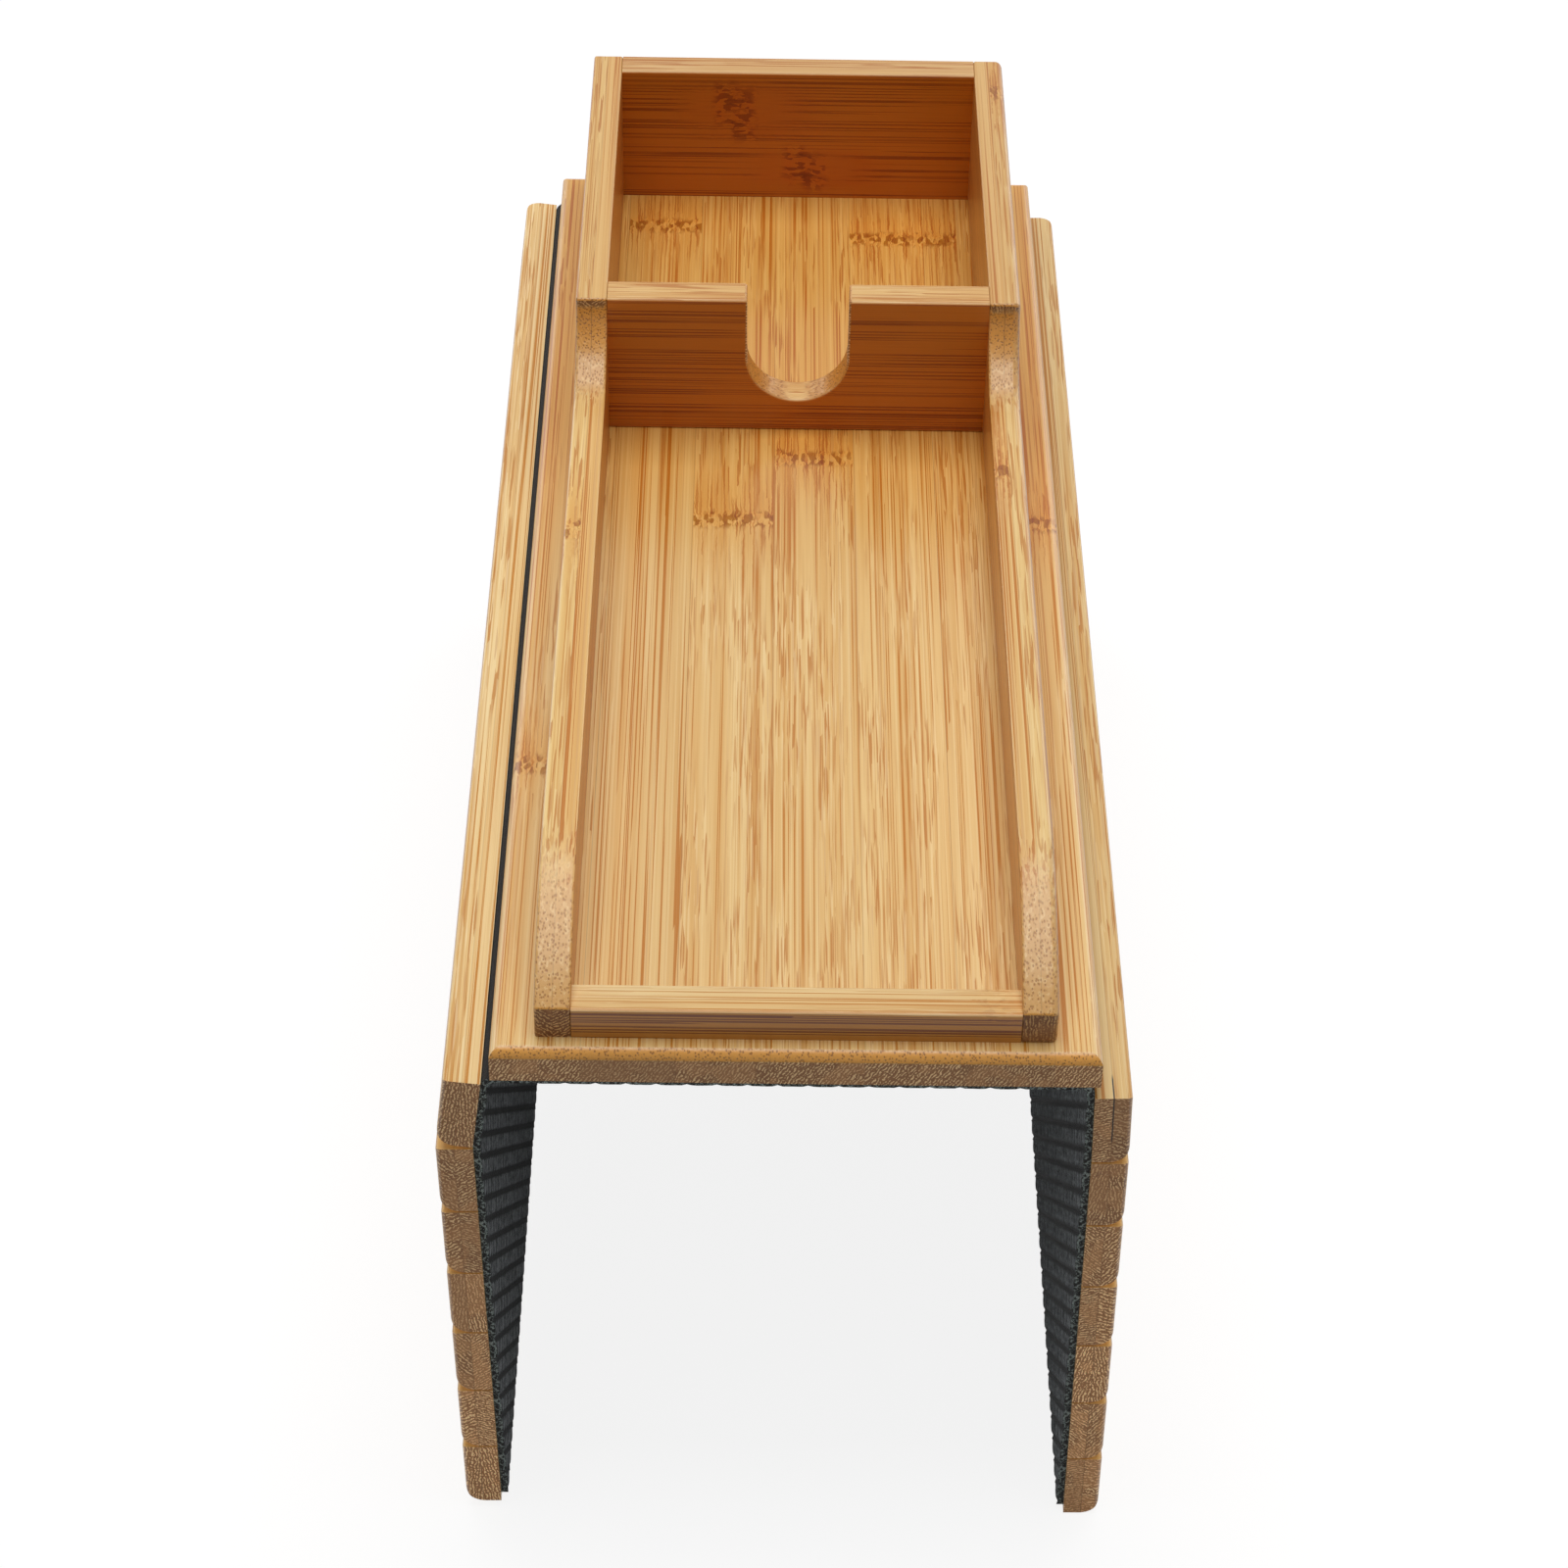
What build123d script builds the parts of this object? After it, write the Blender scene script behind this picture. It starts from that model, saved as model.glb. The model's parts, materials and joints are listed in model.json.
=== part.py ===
from build123d import *
import os
from math import cos, radians, sin

# A sofa arm tray: a bamboo board with a glued caddy, and on each long side a
# flap of seven bamboo slats that hangs down the sofa arm. One anti-slip fabric
# is glued under the board and inside the slats, and it is the hinge of them all.
# X runs across the tray, Y from its front to its rear, Z up. The origin is the
# middle of the fabric's underside, where the tray sits on the arm.

# Base board
board_length = 400.0
board_width = 150.0
board_thickness = 9.7
board_edge_round = 2.8

# Caddy glued on the board
caddy_width = 128.0
caddy_height = 45.0
front_margin = 5.5
rear_margin = 1.5
side_panel_thickness = 9.0
cross_panel_thickness = 9.7
box_length = 117.8
low_wall_height = 25.5
scoop_run = 26.0
nose_height = 9.6
nose_run = 52.5
rail_height = 9.0
arris = 0.8
right_rear_corner_round = 2.0

# Mug handle slot in the divider
slot_width = 29.5
slot_depth = 34.4

# Slats of the flaps
slat_count = 7
slat_width = 22.5
slat_gap = 0.5
slat_thickness = 9.4
slat_front_round = 1.4
slat_rear_round = 4.4
slat_low_round = 5.2
slat_top_round = 0.8

# Fabric: its thickness, how far it stays back from the slats' ends and from the
# last slat's lower edge, and how it is cut away at the lines where it folds
fabric_thickness = 2.0
fabric_inset = 1.0
fabric_hem = 2.3
slat_fold_relief = 0.6
board_fold_tip = 0.3
board_fold_relief = 4.3

# How each flap hangs: its first hinge line's distance from the tray's middle
# plane, the free fabric between that line and the first slat, and how far the
# first slat and then the slats below it lean outward, in degrees
left_hinge_reach = 76.2
left_first_gap = 0.6
left_first_lean = 7.0
left_lean = -1.1
right_hinge_reach = 72.7
right_first_gap = 3.0
right_first_lean = 1.7
right_lean = 0.6

# Levels and places that follow from the sizes above
board_bottom = fabric_thickness
board_top = board_bottom + board_thickness
caddy_top = board_top + caddy_height
low_wall_top = board_top + low_wall_height
front_face = front_margin - board_length / 2
rear_face = board_length / 2 - rear_margin
back_panel_front = rear_face - cross_panel_thickness
divider_rear = back_panel_front - box_length
divider_front = divider_rear - cross_panel_thickness
caddy_inner_width = caddy_width - 2 * side_panel_thickness
fabric_length = board_length - 2 * fabric_inset

os.makedirs("parts", exist_ok=True)


def save(piece, name):
    piece.label = name
    export_step(piece, "parts/" + name + ".step")


def rim(face, level):
    """The edges of an upright face that lie wholly above a level."""
    return [edge for edge in face.edges() if edge.bounding_box().min.Z > level]


# Base board: a flat bamboo panel with all its top edges rounded over
with BuildPart() as base_board:
    with BuildSketch(Plane.XY.offset(board_bottom)):
        Rectangle(board_width, board_length)
    extrude(amount=board_thickness)
    fillet(base_board.faces().sort_by(Axis.Z)[-1].edges(), radius=board_edge_round)
save(base_board.part, "base_board")


def side_panel(side, corner_round):
    """A long wall: tall beside the box, scooped down before the divider, then low to a sloping nose."""
    with BuildPart() as panel:
        with BuildSketch(Plane.YZ.offset(side * caddy_inner_width / 2)) as outline:
            with BuildLine():
                Line((rear_face, board_top), (rear_face, caddy_top))
                Line((rear_face, caddy_top), (divider_front, caddy_top))
                scoop = EllipticalCenterArc(
                    (divider_front - scoop_run, caddy_top),
                    scoop_run,
                    caddy_height - low_wall_height,
                    start_angle=270,
                )
                Line(scoop @ 0, (front_face + nose_run, low_wall_top))
                nose = TangentArc(
                    (front_face + nose_run, low_wall_top),
                    (front_face, board_top + nose_height),
                    tangent=(-1, 0),
                )
                Line(nose @ 1, (front_face, board_top))
                Line((front_face, board_top), (rear_face, board_top))
            make_face()
            upper_corners = [
                corner
                for corner in outline.vertices()
                if corner.Y > caddy_top - arris or (corner.X < front_face + arris and corner.Y > board_top)
            ]
            fillet(upper_corners, radius=arris)
        extrude(amount=side * side_panel_thickness)
        if corner_round > 0:
            uprights = panel.edges().filter_by(Axis.Z).group_by(Axis.Y)[-1]
            fillet(uprights.sort_by(Axis.X)[-1 if side > 0 else 0], radius=corner_round)
        flanks = panel.faces().filter_by(Axis.X)
        fillet(rim(flanks[0], board_top) + rim(flanks[-1], board_top), radius=arris)
    return panel.part


def cross_panel(front, thickness, height):
    """A board across the caddy, between the side panels, with its upper long edges eased."""
    with BuildPart() as panel:
        with BuildSketch(Plane.XY.offset(board_top)):
            with Locations((0, front + thickness / 2)):
                Rectangle(caddy_inner_width, thickness)
        extrude(amount=height)
        fillet(panel.edges().filter_by(Axis.X).group_by(Axis.Z)[-1], radius=arris)
    return panel.part


# Side panels: the right one has its rear corner rounded, the left one is square
save(side_panel(-1, 0), "left_side_panel")
save(side_panel(1, right_rear_corner_round), "right_side_panel")

# Front rail: the low lip that stops what lies in the long compartment
save(cross_panel(front_face, cross_panel_thickness, rail_height), "front_rail")

# Back panel: the rear wall of the box
save(cross_panel(back_panel_front, cross_panel_thickness, caddy_height), "back_panel")

# Divider: the wall between box and long compartment, with the round-bottomed slot
with BuildPart() as divider:
    with BuildSketch(Plane.XZ.offset(-divider_front)) as divider_face:
        with Locations((0, board_top + caddy_height / 2)):
            Rectangle(caddy_inner_width, caddy_height)
        slot_centre = caddy_top - slot_depth + slot_width / 2
        with Locations((0, slot_centre)):
            Circle(slot_width / 2, mode=Mode.SUBTRACT)
        with Locations((0, (slot_centre + caddy_top) / 2)):
            Rectangle(slot_width, caddy_top - slot_centre, mode=Mode.SUBTRACT)
        mouth_corners = [
            corner
            for corner in divider_face.vertices()
            if corner.Y > caddy_top - arris and abs(corner.X) < slot_width
        ]
        fillet(mouth_corners, radius=arris)
    extrude(amount=-cross_panel_thickness)
    broad_faces = divider.faces().filter_by(Axis.Y)
    eased = [
        edge
        for edge in rim(broad_faces[0], board_top) + rim(broad_faces[-1], board_top)
        if abs(edge.center().X) < caddy_inner_width / 2 - arris
    ]
    fillet(eased, radius=arris)
save(divider.part, "divider")


def slat(plane, start):
    """A slat on a plane whose x axis runs down the flap and whose y axis points away from the fabric."""
    middle = (fabric_thickness + slat_thickness) / 2
    end_plane = Plane(origin=plane.origin, x_dir=plane.y_dir, z_dir=plane.x_dir)
    with BuildPart() as piece:
        # Its section, the same all along, with both outer corners rounded
        with BuildSketch(plane) as section:
            with Locations((start + slat_width / 2, middle)):
                Rectangle(slat_width, slat_thickness)
            fillet(section.vertices().group_by(Axis.X)[0].sort_by(Axis.Y)[-1], radius=slat_top_round)
            fillet(section.vertices().group_by(Axis.X)[-1].sort_by(Axis.Y)[-1], radius=slat_low_round)
        extrude(amount=board_length / 2, both=True)
        # Its ends, cut to an outline with the outer corners rounded
        with BuildSketch(end_plane) as outline:
            with Locations((middle, 0)):
                Rectangle(slat_thickness, board_length)
            rounds = [slat_front_round, slat_rear_round] if plane.z_dir.Y > 0 else [slat_rear_round, slat_front_round]
            for corner, radius in zip((0, -1), rounds):
                fillet(outline.vertices().group_by(Axis.X)[-1].sort_by(Axis.Y)[corner], radius=radius)
        extrude(amount=start + slat_width, mode=Mode.INTERSECT)
    return piece.part


def fabric_strip(plane, outline):
    """A length of the fabric with the given section on a plane across the tray."""
    with BuildPart() as piece:
        with BuildSketch(plane):
            with BuildLine():
                Polyline(outline, close=True)
            make_face()
        extrude(amount=fabric_length / 2, both=True)
    return piece.part


# Fabric under the board: each edge tapers to a thin web at its hinge line, so
# that it clears the first slat's fabric when the flap folds in
fabric_half = fabric_thickness / 2
under_board = [
    (-left_hinge_reach + board_fold_tip, fabric_thickness),
    (right_hinge_reach - board_fold_tip, fabric_thickness),
    (right_hinge_reach - board_fold_tip, fabric_half),
    (right_hinge_reach - board_fold_relief, 0),
    (-left_hinge_reach + board_fold_relief, 0),
    (-left_hinge_reach + board_fold_tip, fabric_half),
]
save(fabric_strip(Plane.XZ, under_board), "board_fabric")


def flap(side, side_name, hinge_reach, first_gap, first_lean, lean):
    """One flap: slats and their fabric from the board's hinge line down, and where each hinge line is."""
    x, z = side * hinge_reach, fabric_half
    start = first_gap
    for index in range(1, slat_count + 1):
        angle = radians(first_lean if index == 1 else lean)
        down = Vector(side * sin(angle), 0, -cos(angle))
        plane = Plane(origin=(x, 0, z), x_dir=down, z_dir=(0, -side, 0))
        print(f"{side_name}_{index} hinge line at x {x:.4f} z {z:.4f}")
        save(slat(plane, start), f"{side_name}_slat_{index}")
        end = start + slat_width
        if index == 1:
            upper_edge = [(board_fold_tip, fabric_half), (board_fold_tip, 0), (board_fold_relief, -fabric_half)]
        else:
            upper_edge = [(slat_fold_relief, fabric_half), (slat_fold_relief, -fabric_half)]
        reach = end - fabric_hem if index == slat_count else end + slat_gap / 2 - slat_fold_relief
        lower_edge = [(reach, -fabric_half), (reach, fabric_half)]
        save(fabric_strip(plane, upper_edge + lower_edge), f"{side_name}_fabric_{index}")
        x += (end + slat_gap / 2) * down.X
        z += (end + slat_gap / 2) * down.Z
        start = slat_gap / 2


# Flaps: seven slats each, edge to edge on the fabric that runs behind them
flap(-1, "left", left_hinge_reach, left_first_gap, left_first_lean, left_lean)
flap(1, "right", right_hinge_reach, right_first_gap, right_first_lean, right_lean)
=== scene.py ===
import json
from math import cos, pi, radians, sin

import bpy
import numpy as np
from mathutils import Matrix, Vector


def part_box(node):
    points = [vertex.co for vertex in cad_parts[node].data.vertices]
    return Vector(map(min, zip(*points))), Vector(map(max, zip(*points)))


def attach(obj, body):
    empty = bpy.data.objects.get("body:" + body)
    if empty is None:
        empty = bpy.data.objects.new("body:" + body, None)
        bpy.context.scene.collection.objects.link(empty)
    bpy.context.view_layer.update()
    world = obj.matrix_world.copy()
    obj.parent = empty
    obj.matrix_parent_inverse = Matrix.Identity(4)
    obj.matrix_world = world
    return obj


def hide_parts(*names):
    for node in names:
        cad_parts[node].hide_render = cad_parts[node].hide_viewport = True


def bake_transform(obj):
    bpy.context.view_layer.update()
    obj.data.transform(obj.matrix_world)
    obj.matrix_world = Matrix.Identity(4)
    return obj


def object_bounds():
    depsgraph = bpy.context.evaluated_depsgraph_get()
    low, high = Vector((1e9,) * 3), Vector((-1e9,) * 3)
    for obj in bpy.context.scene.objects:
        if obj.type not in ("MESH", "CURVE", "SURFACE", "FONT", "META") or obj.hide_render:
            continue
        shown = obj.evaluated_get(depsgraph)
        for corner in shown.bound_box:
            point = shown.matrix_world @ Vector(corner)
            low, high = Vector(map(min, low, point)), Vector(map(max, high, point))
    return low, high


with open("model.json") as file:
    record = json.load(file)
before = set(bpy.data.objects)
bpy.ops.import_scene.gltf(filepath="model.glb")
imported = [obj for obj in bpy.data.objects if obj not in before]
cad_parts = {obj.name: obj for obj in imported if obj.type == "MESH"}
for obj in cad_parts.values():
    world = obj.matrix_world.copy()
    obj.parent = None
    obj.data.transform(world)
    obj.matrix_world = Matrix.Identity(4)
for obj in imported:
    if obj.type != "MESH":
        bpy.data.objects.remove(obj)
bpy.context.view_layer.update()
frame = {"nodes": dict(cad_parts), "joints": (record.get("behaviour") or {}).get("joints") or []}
mm = 0.001


# Base board. A flat panel glued up from lengthwise bamboo strips, its top edges
# rounded over, with a clear satin lacquer. Its cut ends show the fibre bundles.
class Socket:
    """One value in a material's tree. Arithmetic on it adds Math nodes."""

    def __init__(self, finish, link):
        self.finish = finish
        self.link = link

    def math(self, operation, *values):
        return self.finish.node("Math", {"operation": operation}, dict(enumerate(values)))

    def __add__(self, other):
        return self.math("ADD", self, other)

    def __radd__(self, other):
        return self.math("ADD", other, self)

    def __sub__(self, other):
        return self.math("SUBTRACT", self, other)

    def __rsub__(self, other):
        return self.math("SUBTRACT", other, self)

    def __mul__(self, other):
        return self.math("MULTIPLY", self, other)

    def __rmul__(self, other):
        return self.math("MULTIPLY", other, self)

    def __truediv__(self, other):
        return self.math("DIVIDE", self, other)

    def __abs__(self):
        return self.math("ABSOLUTE", self)

    def __gt__(self, other):
        return self.math("GREATER_THAN", self, other)

    def floor(self):
        return self.math("FLOOR", self)

    def fraction(self):
        return self.math("FRACT", self)

    def sine(self):
        return self.math("SINE", self)

    def larger(self, other):
        return self.math("MAXIMUM", self, other)

    def rise(self, low, high):
        """0 below low, 1 above high, and smooth between them."""
        values = {"Value": self, "From Min": low, "From Max": high}
        return self.finish.node("MapRange", {"interpolation_type": "SMOOTHSTEP"}, values)

    def fall(self, low, high):
        """1 below low, 0 above high, and smooth between them."""
        return 1 - self.rise(low, high)


class Finish:
    """The node tree of a material or of the world."""

    def __init__(self, owner):
        owner.use_nodes = True
        self.tree = owner.node_tree
        self.tree.nodes.clear()

    def node(self, kind, settings=None, values=None, output=0):
        """Adds any node: its settings first, then its sockets' values or links. Gives an output."""
        made = self.tree.nodes.new("ShaderNode" + kind)
        for setting, value in (settings or {}).items():
            setattr(made, setting, value)
        for socket, value in (values or {}).items():
            if isinstance(value, Socket):
                self.tree.links.new(value.link, made.inputs[socket])
            else:
                made.inputs[socket].default_value = value
        return Socket(self, made.outputs[output]) if made.outputs else None

    def coordinate(self, output):
        return self.node("TexCoord", output=output)

    def dot(self, vector, direction):
        """How far a vector reaches along a direction."""
        values = {0: vector, 1: direction}
        return self.node("VectorMath", {"operation": "DOT_PRODUCT"}, values, "Value")

    def vector(self, x, y, z):
        return self.node("CombineXYZ", None, {"X": x, "Y": y, "Z": z})

    def noise(self, vector, detail=2.0, roughness=0.5):
        """Soft noise, about 0 to 1, with its middle at 0.5."""
        values = {"Vector": vector, "Scale": 1.0, "Detail": detail, "Roughness": roughness}
        return self.node("TexNoise", None, values)

    def random(self, vector):
        """One even random number, 0 to 1, for each whole vector."""
        return self.node("TexWhiteNoise", None, {"Vector": vector}, "Value")

    def cells(self, vector):
        """Uneven cells of about unit size: two random numbers of each, and how far its middle is."""
        tint = self.node("TexVoronoi", None, {"Vector": vector, "Scale": 1.0}, "Color")
        distance = Socket(self, tint.link.node.outputs["Distance"])
        return self.dot(tint, (1, 0, 0)), self.dot(tint, (0, 1, 0)), distance

    def mix(self, share, first, second, way="MIX"):
        """Two colours, mixed by a share. Mix nodes take colours at inputs 6 and 7 and give one at 2."""
        values = {0: share, 6: first, 7: second}
        return self.node("Mix", {"data_type": "RGBA", "blend_type": way}, values, 2)

    def tint(self, share, colour, factor):
        """A colour times a factor, where the share is 1."""
        return self.mix(share, colour, factor, "MULTIPLY")

    def surface(self, values, relief, depth):
        """The surface shader with a relief, whose full depth is in metres."""
        bump = self.node("Bump", None, {"Height": relief, "Distance": depth, "Strength": 1.0})
        shader = self.node("BsdfPrincipled", None, dict(values, Normal=bump))
        self.node("OutputMaterial", None, {"Surface": shader})


def paint(red, green, blue):
    """A colour as a paint chart gives it, 0 to 255, in the shader's linear light."""
    share = np.array([red, green, blue]) / 255
    light = np.where(share > 0.04045, ((share + 0.055) / 1.055) ** 2.4, share / 12.92)
    return (*light.tolist(), 1.0)


def grey(tone):
    """A plain grey, or a factor that darkens or lightens all three colours alike."""
    return (tone, tone, tone, 1)


# For a piece of one strip or one ply: more than any such piece measures, in mm
one_strip = 60.0
one_ply = 1000.0


def bamboo(
    name,
    seed,
    corner,
    thick,
    along,
    wide,
    strip=one_strip,
    ply=one_ply,
    golden=None,
    stain=(1, 1, 1),
    inner=(1, 1, 1),
    end_tint_and_light=(1, 1, 1),
    near=None,
    far=None,
    rim=None,
    painted_shade_along=None,
    knots=(),
    knot_edge=0.3,
    crack=None,
):
    """Laminated bamboo, laid out in the solid: long faces show lines, and cut ends show fibre bundles.

    corner is a point of the piece, and thick, along and wide are its directions.
    strip is the strips' width across wide, and ply their depth across thick, in mm.
    golden is, for a piece with wood cut on a slant, the two slopes between which the cut turns from
    pale to golden, 0 for level and 1 for upright; the bundles' dots are real, the turn to darker gold
    is painted shade.
    stain is what the colour of the long faces is multiplied by, inner that of the ply beside corner,
    and end_tint_and_light that of the ends, which on the slats also carries painted light.
    near and far are the light and dark of the two faces that look back along thick and on along it,
    painted darker than the wood as their shade, and rim is the colour of the face that looks back along
    wide, painted brighter as its light.
    warm is between which two places along the piece, in mm, painted shade darkens its wood, and
    what its colour is multiplied by there.
    knots are the culm's nodes, each (thick or None, along, wide, half width) in mm from corner, with
    edges as soft as knot_edge.
    crack is an open joint between the plies: (thick, along, wide, length, depth) in mm."""
    material = bpy.data.materials.new(name)
    wood = Finish(material)

    # Where a point is, in mm through the piece, along it and across it, and how its face is turned
    from_corner = {0: wood.coordinate("Object"), 1: corner}
    point = wood.node("VectorMath", {"operation": "SUBTRACT"}, from_corner)
    normal = wood.coordinate("Normal")
    t = wood.dot(point, thick) / mm
    a = wood.dot(point, along) / mm
    w = wood.dot(point, wide) / mm
    slope = abs(wood.dot(normal, along))
    end = slope.rise(0.30, 0.80)
    looks_on = wood.dot(normal, thick)

    # Which strip and ply a point is in, and the glue lines beside it
    strip_index = (w / strip).floor()
    ply_index = t > ply
    tone = wood.random(wood.vector(strip_index, ply_index, seed))
    full_glue, no_glue = 0.04, 0.16
    from_middle = abs((w / strip).fraction() - 0.5)
    strip_line = from_middle.rise(0.5 - no_glue / strip, 0.5 - full_glue / strip)
    ply_line = abs(t - ply).fall(0.05, 0.22)

    # Nodes of the culm: the ring itself, flame-like streaks before it and a blush behind it
    ragged = wood.noise(wood.vector(t / 1.6, a / 4.0, w / 2.0), 2.0, 0.7) - 0.5
    ring, flame, blush = 0.0, 0.0, 0.0
    for knot_t, knot_a, knot_w, half_width in knots:
        beyond = a - knot_a + ragged * 5.0
        here = abs(w - knot_w).fall(half_width - knot_edge, half_width)
        if knot_t is not None:
            here = here * abs(t - knot_t).fall(half_width - knot_edge, half_width)
        ring = here * abs(beyond).fall(1.8, 5.2) + ring
        flame = here * beyond.fall(-1.5, 1.0) * beyond.rise(-30.0, -5.0) + flame
        blush = here * beyond.rise(-1.0, 3.0) * beyond.fall(5.0, 34.0) + blush
    across = w + ragged * (ring * 2.4 + (flame + blush) * 0.7) if knots else w

    # Straight fibres: broad bands, crisp lines of every strength, fine hairs, and short flecks in
    # patches. Each strip and ply takes its pattern from a place of its own.
    place = a + tone * 900.0 + seed * 613.0
    spread = strip_index * 37.0 + ply_index * 19.0
    bands = wood.noise(wood.vector(t / 3.2 + spread, place / 330.0, across / 3.2))
    fibre, streak, _ = wood.cells(wood.vector(t / 0.40, place / 190.0, across / 0.40 + spread))
    hairs = wood.noise(wood.vector(t / 0.26, place / 34.0, across / 0.20 + spread), 1.0)
    short, fleck, _ = wood.cells(wood.vector(t / 0.42, place / 15.0, across / 0.36 + spread))
    patches = wood.noise(wood.vector(t / 8.0 + spread, place / 60.0, w / 9.0), 1.0)
    if ply < one_ply:
        flecked = ply_index * patches.rise(0.30, 0.55)
    else:
        flecked = patches.rise(0.42, 0.58) * tone.rise(0.05, 0.55)
    if knots:
        flecked = flecked.larger(flame).larger(blush)
    line = (fibre + (bands - 0.5) * 1.0).rise(0.61, 0.77) * (0.60 + hairs * 0.8) * (1 - flecked * 0.60)

    colour = wood.mix(bands.rise(0.30, 0.72), paint(239, 203, 139), paint(227, 181, 110))
    colour = wood.mix(hairs.rise(0.50, 0.72) * 0.25, colour, paint(200, 142, 66))
    colour = wood.mix(line * 0.95, colour, paint(194, 121, 12))
    colour = wood.mix(streak.rise(0.72, 0.86) * 0.50, colour, paint(247, 219, 162))
    colour = wood.mix(short.rise(0.70, 0.80) * flecked * 0.80, colour, paint(190, 118, 26))
    colour = wood.mix(fleck.rise(0.74, 0.90) * flecked * 0.50, colour, paint(249, 222, 168))
    colour = wood.tint(1 - ply_index, colour, (*inner, 1))

    # Wood cut on a slant and looking up: pale and pebbled with painted glints, then golden with the
    # bundles as dark dots. The dots are real; the paleness of cuts that look up, where upright ends are
    # brown, and their darkening as they steepen are painted light and shade.
    _, glint, from_bundle = wood.cells(wood.vector(t / 0.66, a / 1.7, w / 0.66))
    grain = from_bundle.fall(0.16, 0.46)
    relief = hairs * 0.3 * (1 - end)
    painted_lit_slant = 0.0
    if golden:
        lifted = wood.dot(normal, upward).rise(0.03, 0.20)
        painted_lit_slant = lifted * slope.fall(0.97, 0.999)
        pebbles = wood.mix(grain * 0.75, paint(219, 169, 104), paint(162, 104, 50))
        pebbles = wood.mix(glint.rise(0.72, 0.90) * (1 - grain) * 0.5, pebbles, paint(246, 212, 158))
        dots = wood.mix(grain * 0.85, paint(228, 162, 72), paint(136, 82, 24))
        slanted = wood.mix(slope.rise(*golden), pebbles, dots)
        colour = wood.mix(painted_lit_slant * slope.rise(0.08, 0.34), colour, slanted)
        relief = relief - lifted * slope.rise(0.10, 0.26) * grain * 1.4
    colour = wood.tint(1.0, colour, (*stain, 1))

    # The two broad faces in darker copies of the wood as painted shade, the rim in a brighter one as
    # painted light, and how a node darkens the wood about it
    for faces, pair in ((looks_on * -1.0, near), (looks_on, far)):
        if pair:
            deep = wood.mix((line * 0.85 + hairs * 0.45).rise(0.10, 0.95), *pair)
            colour = wood.mix(faces.rise(0.70, 0.95), colour, deep)
    if rim:
        colour = wood.mix(wood.dot(normal, wide * -1).rise(0.80, 0.98), colour, rim)
    if knots:
        marks, _, _ = wood.cells(wood.vector(t / 1.4, a / 2.4 + ragged * 1.4, w / 1.2))
        scar = wood.mix(marks.rise(0.50, 0.66), (1.02, 0.97, 0.84, 1), (0.57, 0.37, 0.09, 1))
        colour = wood.tint(blush.larger(flame * 0.5), colour, (0.95, 0.81, 0.58, 1))
        colour = wood.tint(ring, colour, scar)

    # Cut ends: brown, with pale wavy fibres like a fingerprint in some of the plies
    turn = seed * 2.1
    wave = 0.84
    warp = wood.noise(wood.vector(t / 1.5, place / 55.0, w / 1.5 + spread), 1.0)
    breaks = wood.noise(wood.vector(t / 0.60, place / 55.0, w / 0.60), 1.0)
    phase = (t * cos(turn) + w * sin(turn) * (1 - ply_index * 1.7)) * (2 * pi / wave) + warp * 11.0
    waves = phase.sine().rise(-0.3, 0.6) * breaks.rise(0.40, 0.52)
    waved = 0.55 + (patches + (tone - 0.5) * 0.3).rise(0.42, 0.52) * 0.40
    cut = wood.mix(grain * 0.55, paint(200, 148, 100), paint(144, 98, 60))
    cut = wood.mix(waved, cut, wood.mix(waves, paint(140, 97, 60), paint(248, 210, 160)))
    cut = wood.tint(1.0, cut, wood.mix(tone, grey(0.86), grey(1.10)))
    cut = wood.tint(1.0, cut, (*end_tint_and_light, 1))
    # Cut faces that look up keep their painted lit colours instead of the brown of upright ends
    cut_end = end * (1 - painted_lit_slant)
    colour = wood.mix(cut_end, colour, cut)
    relief = relief + end * waves * waved

    # Glue lines, an open joint, painted shade that darkens the wood toward one end, and strips a little
    # unlike each other
    seam = (strip_line * 0.30).larger(ply_line * (0.16 + end * 0.30))
    colour = wood.mix(seam, colour, paint(118, 72, 32))
    if crack:
        crack_t, crack_a, crack_w, length, depth = crack
        open_joint = abs(t - crack_t).fall(0.10, 0.26) * abs(a - crack_a).fall(length * 0.7, length)
        open_joint = open_joint * abs(w - crack_w).fall(depth * 0.8, depth)
        colour = wood.mix(open_joint, colour, paint(24, 18, 14))
    if painted_shade_along:
        shade_from, shade_to, shade_tint = painted_shade_along
        colour = wood.tint(a.rise(shade_from, shade_to) * (1 - cut_end), colour, (*shade_tint, 1))
    colour = wood.tint(1.0, colour, wood.mix(tone, grey(0.95), grey(1.05)))
    matt = slope.rise(0.90, 0.99)
    values = {
        "Base Color": colour,
        "Roughness": 0.34 + hairs * 0.14 + matt * 0.20,
        "Coat Weight": 0.32 - matt * 0.28,
        "Coat Roughness": 0.20,
        "IOR": 1.42,
    }
    relief_depth = 0.06 * mm
    wood.surface(values, relief, relief_depth)
    return material


def dress(node, material):
    """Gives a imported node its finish."""
    made = frame["nodes"][node].data.materials
    made.clear()
    made.append(material)


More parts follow.
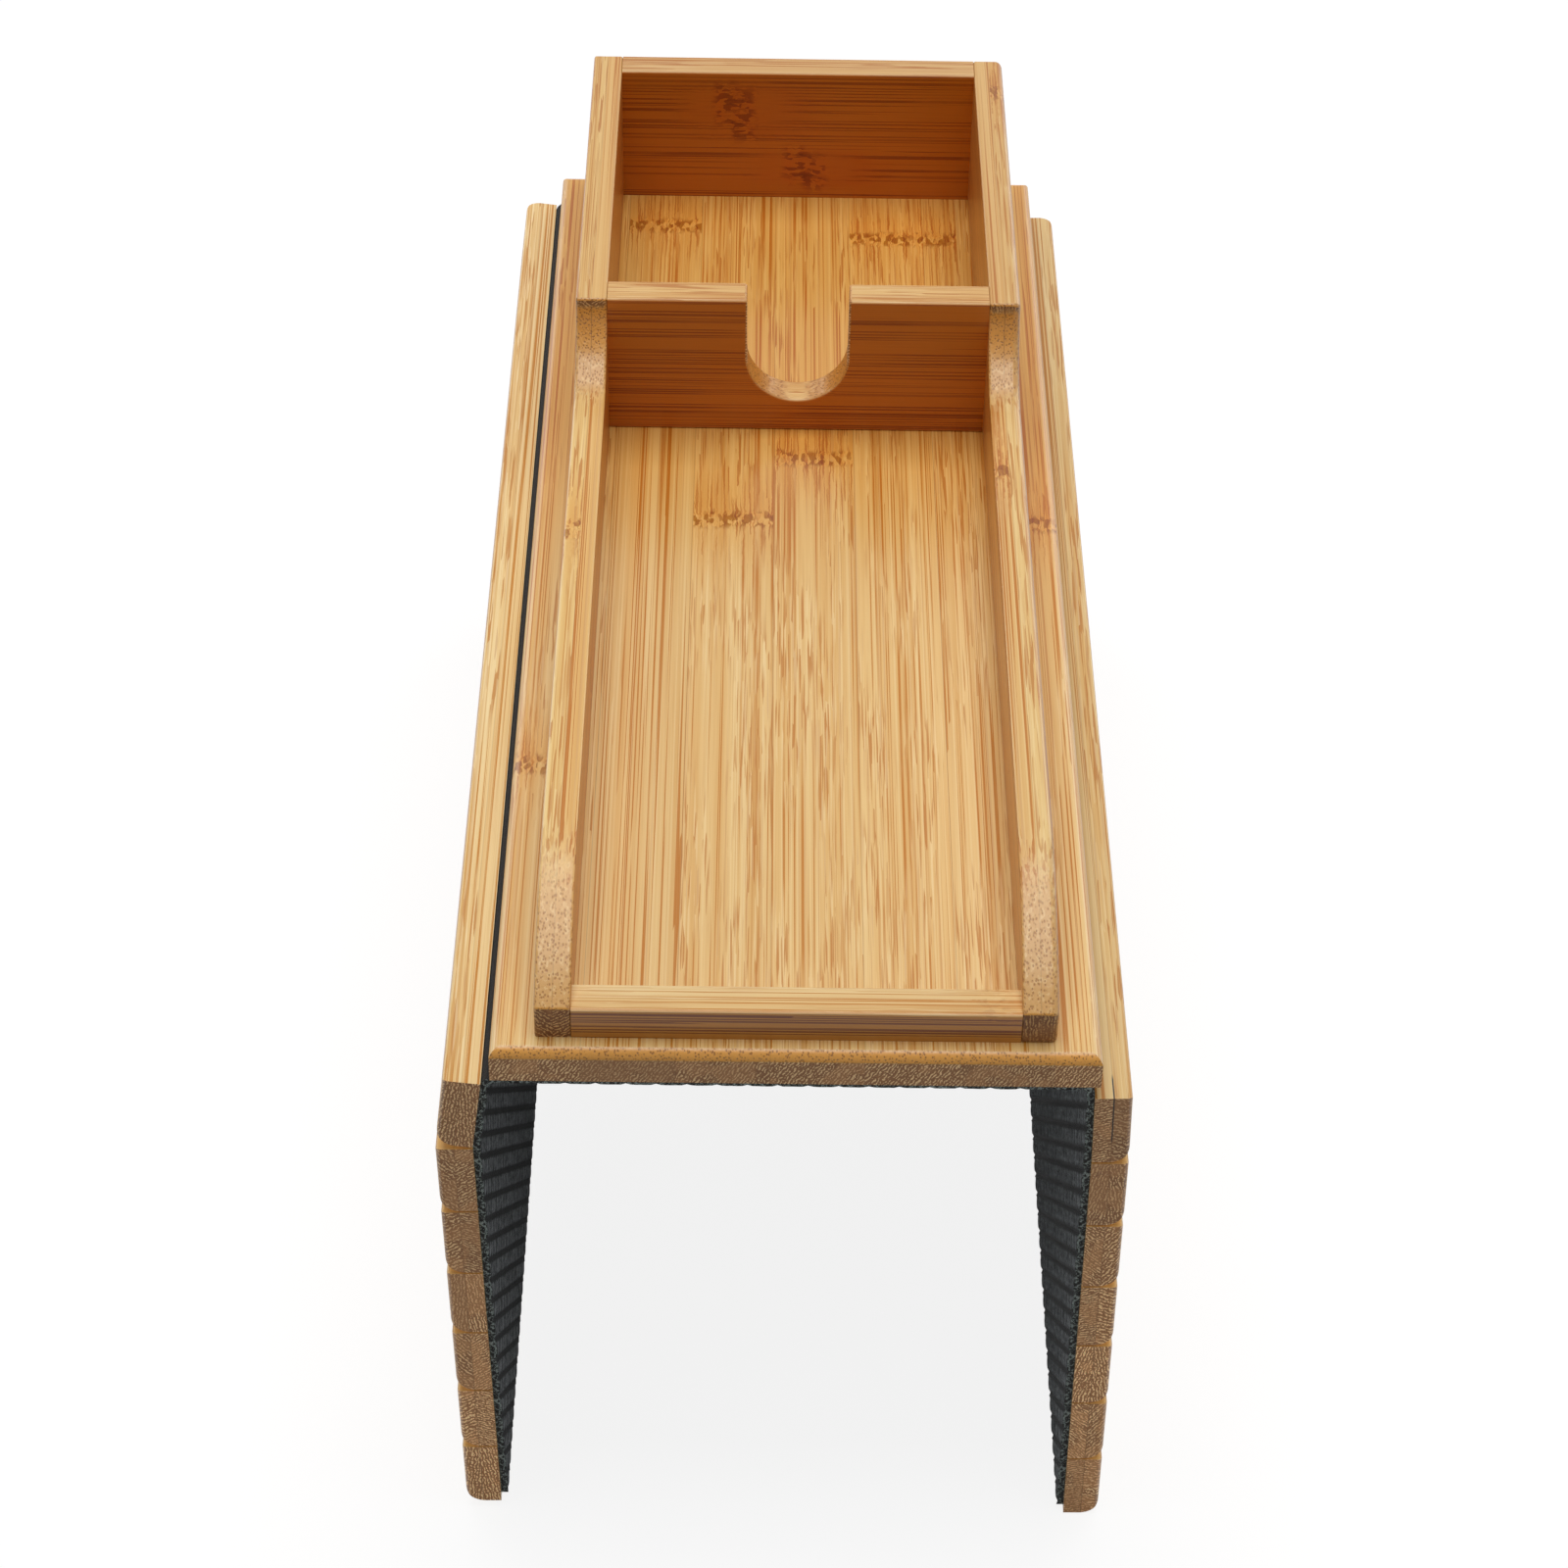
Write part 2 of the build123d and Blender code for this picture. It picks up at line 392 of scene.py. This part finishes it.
across_tray, to_rear, upward = Vector((1, 0, 0)), Vector((0, 1, 0)), Vector((0, 0, 1))
board_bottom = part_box("base_board")[0].z
board_strip = 23.2
glue_line_x = -6.3 * mm
board_knots = [
    (None, 47.0, 11.6, 11.6),
    (None, 16.9, -11.6, 11.6),
    (None, 171.2, -34.8, 11.6),
    (None, 164.7, 40.0, 17.0),
    (None, -92.1, -63.0, 6.0),
    (None, 16.5, 77.3, 5.0),
]
board_finish = bamboo(
    "bamboo_board",
    seed=1,
    corner=Vector((glue_line_x, 0, board_bottom)),
    thick=upward,
    along=to_rear,
    wide=across_tray,
    strip=board_strip,
    golden=(0.26, 0.44),
    stain=(0.99, 0.975, 0.92),
    end_tint_and_light=(0.98, 0.95, 0.88),
    painted_shade_along=(-45.0, 75.0, (0.90, 0.72, 0.42)),
    knots=board_knots,
)
dress("base_board", board_finish)


# Caddy. Two side panels of two plies each, and between them a front rail, a
# divider with a slot and a back panel, all glued to the board and to each other.
side_low, side_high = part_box("left_side_panel")
side_ply = (side_high.x - side_low.x) / mm / 2
# Painted shade: the side panels' outer faces and the cross panels' rear faces, darker and deeper than the
# tops
upright_painted_shade = (paint(199, 139, 68), paint(160, 97, 37))
# The side panels' inner faces (near) are painted darker than the tops, as their shade
left_side = {
    "seed": 2,
    "corner": Vector((side_high.x, 0, side_low.z)),
    "thick": -across_tray,
    "stain": (0.96, 0.93, 0.80),
    "near": (paint(194, 127, 46), paint(156, 88, 20)),
    "knots": [(6.8, -22.4, 25.0, 2.6), (2.2, -69.8, 9.0, 8.0)],
}
right_side = {
    "seed": 3,
    "corner": Vector((-side_high.x, 0, side_low.z)),
    "thick": across_tray,
    "stain": (0.97, 0.95, 0.86),
    "near": (paint(208, 147, 67), paint(167, 102, 36)),
    "knots": [(6.8, 178.9, 44.0, 2.4), (2.2, 7.4, 25.0, 2.4)],
}
for side_panel, own in (("left_side_panel", left_side), ("right_side_panel", right_side)):
    side_finish = bamboo(
        f"bamboo_{side_panel}",
        along=to_rear,
        wide=upward,
        ply=side_ply,
        golden=(0.45, 0.85),
        inner=(0.97, 0.91, 0.86),
        end_tint_and_light=(0.66, 0.56, 0.42),
        far=upright_painted_shade,
        painted_shade_along=(10.0, 70.0, (0.87, 0.82, 0.77)),
        **own,
    )
    dress(side_panel, side_finish)

# Painted shade: the deep brown of the divider's and back panel's front faces inside the box, and the
# rail's darker front face
box_wall_painted_shade = (paint(197, 111, 19), paint(148, 69, 4))
front_rail = {
    "seed": 4,
    "stain": (1.0, 1.02, 1.06),
    "near": (paint(202, 138, 58), paint(122, 63, 10)),
    "knots": [(None, 48.4, 8.0, 3.0)],
}
divider = {"seed": 5, "stain": (0.83, 0.73, 0.60), "near": box_wall_painted_shade}
back_panel = {
    "seed": 6,
    "stain": (0.75, 0.64, 0.54),
    "near": box_wall_painted_shade,
    "knots": [
        (0.0, -22.5, 34.0, 10.0),
        (0.0, -17.0, 30.0, 12.0),
        (0.0, -0.5, 12.0, 9.0),
        (0.0, 5.5, 9.5, 9.0),
    ],
}
for panel, own in (("front_rail", front_rail), ("divider", divider), ("back_panel", back_panel)):
    front_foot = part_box(panel)[0]
    panel_finish = bamboo(
        f"bamboo_{panel}",
        corner=Vector((0, front_foot.y, front_foot.z)),
        thick=to_rear,
        along=across_tray,
        wide=upward,
        golden=(0.4, 0.9),
        far=upright_painted_shade,
        knot_edge=6.0,
        **own,
    )
    dress(panel, panel_finish)


# Slats. Fourteen two-ply bamboo laths, seven a side, with their outer corners
# rounded, glued edge to edge on the fabric, which lets each one turn.
hinge_line = {joint["name"]: Vector(joint["pos_m"]) for joint in frame["joints"]}
fabric_thickness = board_bottom
slat_count = 7
slat_numbers = range(1, slat_count + 1)
slat_ply = 4.7
# Painted shade and light: the slats' outer faces take darker copies of the wood, and their top edges,
# where they show past the slat above, a bright orange as their light
slat_face_painted_shade = (paint(214, 166, 102), paint(180, 118, 58))
slat_rim_painted_light = paint(255, 206, 124)
first_slat_stain = {"left": (1.0, 1.07, 1.14), "right": (0.91, 0.92, 0.89)}
front_end = -200.0
front_crack = (slat_ply, front_end, 3.0, 9.0, 17.0)


def slat_frame(side, index):
    """The hinge line above a slat, and its directions away from the fabric and down the flap."""
    line = hinge_line[f"{side}_hinge_{index}"]
    lower = hinge_line[f"{side}_hinge_{index + 1}"] if index < slat_count else line
    upper = line if index < slat_count else hinge_line[f"{side}_hinge_{index - 1}"]
    down = (lower - upper).normalized()
    away = Vector((down.z, 0, -down.x)) if side == "left" else Vector((-down.z, 0, down.x))
    return line, away, down


for side, side_seed in (("left", 20), ("right", 40)):
    for index in slat_numbers:
        line, away, down = slat_frame(side, index)
        is_first = index == 1
        # Painted light: the lower a slat, the lighter its end, as if lit by light bounced up off the
        # floor
        end_bounce_light = 0.88 + 0.08 * index
        slat_finish = bamboo(
            f"bamboo_{side}_slat_{index}",
            seed=side_seed + index,
            corner=line + away * (fabric_thickness / 2),
            thick=away,
            along=to_rear,
            wide=down,
            ply=slat_ply,
            stain=first_slat_stain[side] if is_first else (1, 1, 1),
            inner=(0.99, 1.0, 1.04),
            end_tint_and_light=(end_bounce_light, end_bounce_light * 0.97, end_bounce_light * 0.90),
            far=slat_face_painted_shade,
            rim=None if is_first else slat_rim_painted_light,
            crack=front_crack if is_first and side == "right" else None,
        )
        dress(f"{side}_slat_{index}", slat_finish)


# Fabric. One sheet of dark anti-slip cloth, quilted in diamonds, glued under the
# board and inside the slats. It comes in lengths, each bending at one hinge line.
cloth_low, cloth_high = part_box("board_fabric")
cloth_length = cloth_high.y - cloth_low.y
slat_pitch = 23 * mm
cell = slat_pitch / 3
cells_along = round(cloth_length / cell)
steps_per_cell = 6
groove_depth = 0.45 * mm
unevenness = 0.09 * mm
corner_radius = 2.2 * mm
corner_steps = 8


def charcoal_cloth():
    """Matt charcoal cloth: grey hairy pads, quilting lines between them painted near black as their
    shade, and frayed cut edges. Its glued side is bare, and painted near black as shade where it shows."""
    material = bpy.data.materials.new("charcoal_cloth")
    cloth = Finish(material)

    # Where a point is on the flat cloth, in mm: s down its path and y along the tray
    place = cloth.coordinate("UV")
    s = cloth.dot(place, (1, 0, 0)) / mm
    y = cloth.dot(place, (0, 1, 0)) / mm

    # Pads of pale hairs, worn in patches, and the grooves between them, painted near black as their shade
    hairs = cloth.noise(cloth.vector(s / 0.28, y / 1.8, 0.0), 3.0, 0.7)
    fuzz = cloth.noise(cloth.vector(s / 0.5, y / 0.5, 3.0), 4.0, 0.75)
    worn = cloth.noise(cloth.vector(s / 3.0, y / 5.0, 7.0), 2.0)
    lines = [abs(((s + y * way) / (cell / mm)).fraction() - 0.5).rise(0.24, 0.40) for way in (1, -1)]
    groove = lines[0].larger(lines[1])
    pad = cloth.mix(worn.rise(0.35, 0.60), paint(112, 117, 120), paint(196, 202, 206))
    colour = cloth.mix((hairs * 0.6 + fuzz * 0.4).rise(0.40, 0.56), paint(30, 34, 36), pad)
    colour = cloth.mix(groove * 0.96, colour, paint(4, 5, 6))

    # Cut edges, curled threads on the pads, and the glued side, painted near black as shade
    curls = cloth.noise(cloth.vector(s / 1.0, y / 1.0, 5.0), 4.0, 0.8)
    frayed = cloth.mix(curls.rise(0.49, 0.58), paint(5, 7, 7), paint(150, 163, 160))
    cut_edge = abs(cloth.dot(cloth.coordinate("Normal"), to_rear)).rise(0.5, 0.8)
    colour = cloth.mix(cut_edge, colour, frayed)
    threads = curls.rise(0.63, 0.70) * (1 - groove * (1 - cut_edge)) * 0.8
    colour = cloth.mix(threads, colour, paint(190, 196, 194))
    glued = cloth.node("Attribute", {"attribute_name": "glued"}, None, "Fac")
    colour = cloth.mix(glued.rise(0.75, 1.0) * (1 - cut_edge), colour, paint(16, 17, 18))
    values = {
        "Base Color": colour,
        "Roughness": 0.92,
        "IOR": 1.4,
        "Sheen Weight": 0.10,
        "Sheen Roughness": 0.5,
    }
    relief_depth = 0.30 * mm
    cloth.surface(values, hairs * 0.5 + fuzz, relief_depth)
    return material


cloth_finish = charcoal_cloth()


def flap_path(side):
    """The cloth's middle line in section, as points (x, z): from the tray's middle out under the board,
    round a quarter circle at the first hinge line, then straight from hinge line to hinge line to its
    lower hem. With it, how far along the line each point is."""
    lines = [slat_frame(side, index)[0] for index in slat_numbers]
    last, _, down = slat_frame(side, slat_count)
    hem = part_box(f"{side}_fabric_{slat_count}")[0].z
    lines.append(last + down * ((last.z - hem) / -down.z))
    knee = lines[0]
    inward = -across_tray if side == "right" else across_tray
    drop = (lines[1] - knee).normalized()
    centre = knee + (inward + drop) * corner_radius
    turn = np.linspace(0, pi / 2, corner_steps + 1)
    bend = [centre - (drop * cos(angle) + inward * sin(angle)) * corner_radius for angle in turn]
    path = np.array([(point.x, point.z) for point in [Vector((0, 0, knee.z)), *bend, *lines[1:]]])
    reach = np.concatenate([[0], np.cumsum(np.hypot(*np.diff(path, axis=0).T))])
    return path, reach


def cloth_between(name, path, reach, start, stop, cells, glue_side):
    """A closed slab of the cloth between two distances along its path. Its glued face is flat. The other
    is quilted in diamonds: with u cells from the start and v cells along the tray, both counted from a
    half, it is lower by the groove depth where u + v or u - v is a whole number x, and beside that by
    the depth times 1 - 1.6 |sin(pi x)|, to the power of 1.5. glue_side is 1 where the glued face lies
    to the left of the path, and -1 where it lies to the right."""
    # Rows at even distances s along the path, and one wherever it bends, and columns at places y
    too_close = 0.3 * mm
    even = np.linspace(start, stop, round(cells * steps_per_cell) + 1)
    turns = reach[(reach > start + too_close) & (reach < stop - too_close)]
    if turns.size:
        even = even[abs(even[:, None] - turns).min(1) > too_close]
    s = np.sort(np.concatenate([even, turns]))
    rows = len(s) - 1
    columns = cells_along * steps_per_cell
    y = np.linspace(cloth_low.y, cloth_high.y, columns + 1)

    def along(distance):
        """The path's points at distances along it."""
        return np.stack([np.interp(distance, reach, coordinate) for coordinate in path.T], 1)

    # Which way is outward at each row
    half_chord = 0.4 * mm
    tangent = along(s + half_chord) - along(s - half_chord)
    tangent /= np.linalg.norm(tangent, axis=1)[:, None]
    outward = np.stack([-tangent[:, 1], tangent[:, 0]], 1) * glue_side

    # How far each point of the quilted face is from the middle line
    u = (s - start) / (stop - start) * cells + 0.5
    v = (y - y[0]) / cloth_length * cells_along + 0.5
    slants = [u[:, None] + v[None, :], u[:, None] - v[None, :]]
    grooves = [(1 - np.clip(abs(np.sin(pi * slant)) * 1.6, 0, 1)) ** 1.5 for slant in slants]
    depth = fabric_thickness / 2 - groove_depth * np.maximum(*grooves)
    depth[1:-1] -= np.random.default_rng(7).uniform(0, unevenness, depth[1:-1].shape)
    middle = along(s)[:, None, :]
    quilted = middle - outward[:, None, :] * depth[:, :, None]
    glued = middle + outward[:, None, :] * np.full(depth.shape, fabric_thickness / 2)[:, :, None]
    grid_y = np.broadcast_to(y, depth.shape)
    grids = [np.stack([face[..., 0], grid_y, face[..., 1]], -1) for face in (quilted, glued)]
    points = np.concatenate(grids).reshape(-1, 3)

    # Four-sided faces on both grids, and a band of them round the rim
    wide = columns + 1
    first = (np.arange(rows)[:, None] * wide + np.arange(columns)).reshape(-1)
    quads = np.stack([first, first + 1, first + wide + 1, first + wide], 1)
    rim_parts = [
        np.arange(columns),
        np.arange(rows) * wide + columns,
        rows * wide + np.arange(columns, 0, -1),
        np.arange(rows, 0, -1) * wide,
    ]
    rim = np.concatenate(rim_parts)
    after = np.roll(rim, -1)
    count = depth.size
    band = np.stack([after, rim, rim + count, after + count], 1)
    faces = np.concatenate([quads, quads[:, ::-1] + count, band])
    if glue_side < 0:
        faces = faces[:, ::-1]
    mesh = bpy.data.meshes.new(name)
    mesh.from_pydata(points.tolist(), [], faces.tolist())

    # Flat places for the finish, the glued face's a little longer so that the cut edges have a width too
    corners = np.zeros(len(mesh.loops), int)
    mesh.loops.foreach_get("vertex_index", corners)
    flat = []
    for stretch in (1, 1 + 2 * fabric_thickness / cloth_length):
        stretched = v.mean() + (v - v.mean()) * stretch
        flat.append(np.stack([np.repeat(u * cell, wide), np.tile(stretched * cell, rows + 1)], 1))
    flat = np.concatenate(flat)[corners]
    mesh.uv_layers.new(name="cloth").data.foreach_set("uv", flat.astype(np.float32).ravel())
    mesh.attributes.new("glued", "FLOAT", "POINT").data.foreach_set("value", np.repeat([0.0, 1.0], count))

    crease = radians(70)
    mesh.polygons.foreach_set("use_smooth", np.ones(len(mesh.polygons), bool))
    mesh.set_sharp_from_angle(angle=crease)
    mesh.materials.append(cloth_finish)
    piece = bpy.data.objects.new(name, mesh)
    bpy.context.scene.collection.objects.link(piece)
    return piece


# A flap's cloth is parted midway between hinge lines, where a slat holds it flat. Its first length
# starts under the board, a little before the corner. Seams are measured from hinge lines.
seam_below_line = 1.5 * cell
first_seam_above_line = 5.5 * cell
half_bend = 2.5 * mm
centre_reach = []
for side, glue_side in (("left", -1), ("right", 1)):
    path, reach = flap_path(side)
    lower_lines = reach[corner_steps + 2 : -1]
    first_seams = [lower_lines[0] - first_seam_above_line, lower_lines[0] - seam_below_line]
    seams = [*first_seams, *(lower_lines[:-1] + seam_below_line), reach[-1]]
    centre_reach.append(seams[0])
    for index in slat_numbers:
        start, stop = seams[index - 1], seams[index]
        width_in_cells = (stop - start) / cell
        name = f"{side}_fabric_fold_{index}"
        piece = cloth_between(name, path, reach, start, stop, width_in_cells, glue_side)
        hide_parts(f"{side}_fabric_{index}")
        line, away, down = slat_frame(side, index)
        if index == 1:
            bend_from, bend_to = line - away * corner_radius, line + down * corner_radius
        else:
            bend_from, bend_to = line - down * half_bend, line + down * half_bend
        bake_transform(piece)
        stop - start

centre_width = sum(centre_reach)
centre_cells = round(centre_width / cell)
spare = 5 * mm
level = hinge_line["left_hinge_1"].z
path = np.array([(-centre_reach[0] - spare, level), (centre_reach[1] + spare, level)])
reach = path[:, 0] - path[0, 0]
centre = cloth_between("fabric_under_board", path, reach, spare, spare + centre_width, centre_cells, 1)
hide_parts("board_fabric")
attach(centre, "tray")


# Floor, lights and camera: a plain pale floor under the flaps' lower edges, soft
# lamps overhead and behind, and the camera at the photograph's viewing angle.
floor_clearance = 0.1 * mm
half_floor = 3.0
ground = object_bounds()[0].z - floor_clearance
floor_mesh = bpy.data.meshes.new("floor")
floor_turns = ((-1, -1), (1, -1), (1, 1), (-1, 1))
floor_corners = [(x * half_floor, y * half_floor, ground) for x, y in floor_turns]
floor_mesh.from_pydata(floor_corners, [], [(0, 1, 2, 3)])
floor = bpy.data.objects.new("floor", floor_mesh)
bpy.context.scene.collection.objects.link(floor)


def seen_directly(tree):
    """1 for what the camera sees, straight or in a gloss or through glass, else 0."""
    straight = tree.node("LightPath", output="Is Camera Ray")
    in_gloss = tree.node("LightPath", output="Is Glossy Ray")
    through_glass = tree.node("LightPath", output="Is Transmission Ray")
    return straight.larger(in_gloss).larger(through_glass)


# Light bounces off the floor as off plain card, and what sees it directly gets a near-white one
# that glows and still takes the tray's shadow. The room is dim for the light and white to look at.
white = grey(1)
floor_finish = bpy.data.materials.new("pale_floor")
tree = Finish(floor_finish)
card = tree.node("BsdfDiffuse", None, {"Color": grey(0.80)})
shaded = tree.node("BsdfDiffuse", None, {"Color": grey(0.18)})
glow = tree.node("Emission", None, {"Color": white, "Strength": 0.87})
pale = tree.node("AddShader", None, {0: shaded, 1: glow})
shown = tree.node("MixShader", None, {0: seen_directly(tree), 1: card, 2: pale})
tree.node("OutputMaterial", None, {"Surface": shown})
floor_mesh.materials.append(floor_finish)

studio = bpy.data.worlds.new("studio")
bpy.context.scene.world = studio
tree = Finish(studio)
strength = 0.20 + seen_directly(tree) * 0.80
room = tree.node("Background", None, {"Color": white, "Strength": strength})
tree.node("OutputWorld", None, {"Surface": room})


def lamp(name, place, size, power):
    """A square soft lamp that faces the tray's middle."""
    light = bpy.data.lights.new(name, "AREA")
    light.shape = "SQUARE"
    light.size = size
    light.energy = power
    hung = bpy.data.objects.new(name, light)
    hung.location = place
    hung.rotation_euler = (-Vector(place)).to_track_quat("-Z", "Y").to_euler()
    bpy.context.scene.collection.objects.link(hung)


lamp("overhead_lamp", (0.0, 0.15, 1.6), size=1.2, power=20.0)
lamp("left_rear_lamp", (-1.1, 1.2, 0.4), size=0.8, power=3.6)
lamp("right_rear_lamp", (1.1, 1.2, 0.4), size=0.8, power=3.6)

camera = bpy.data.objects.new("camera", bpy.data.cameras.new("camera"))
bpy.context.scene.collection.objects.link(camera)
camera.data.sensor_width = 36
camera.data.lens = 88.243
camera.data.clip_start = 0.01
looking_down, looking_aside, tilt = radians(40.7817), radians(0.6187), radians(1.1275)
place = Matrix.Translation((-11.447 * mm, -865.306 * mm, 673.019 * mm))
aim = Matrix.Rotation(-looking_aside, 4, "Z") @ Matrix.Rotation(pi / 2 - looking_down, 4, "X")
camera.matrix_world = place @ aim @ Matrix.Rotation(tilt, 4, "Z")
bpy.context.scene.camera = camera
bpy.context.scene.view_settings.view_transform = "Standard"
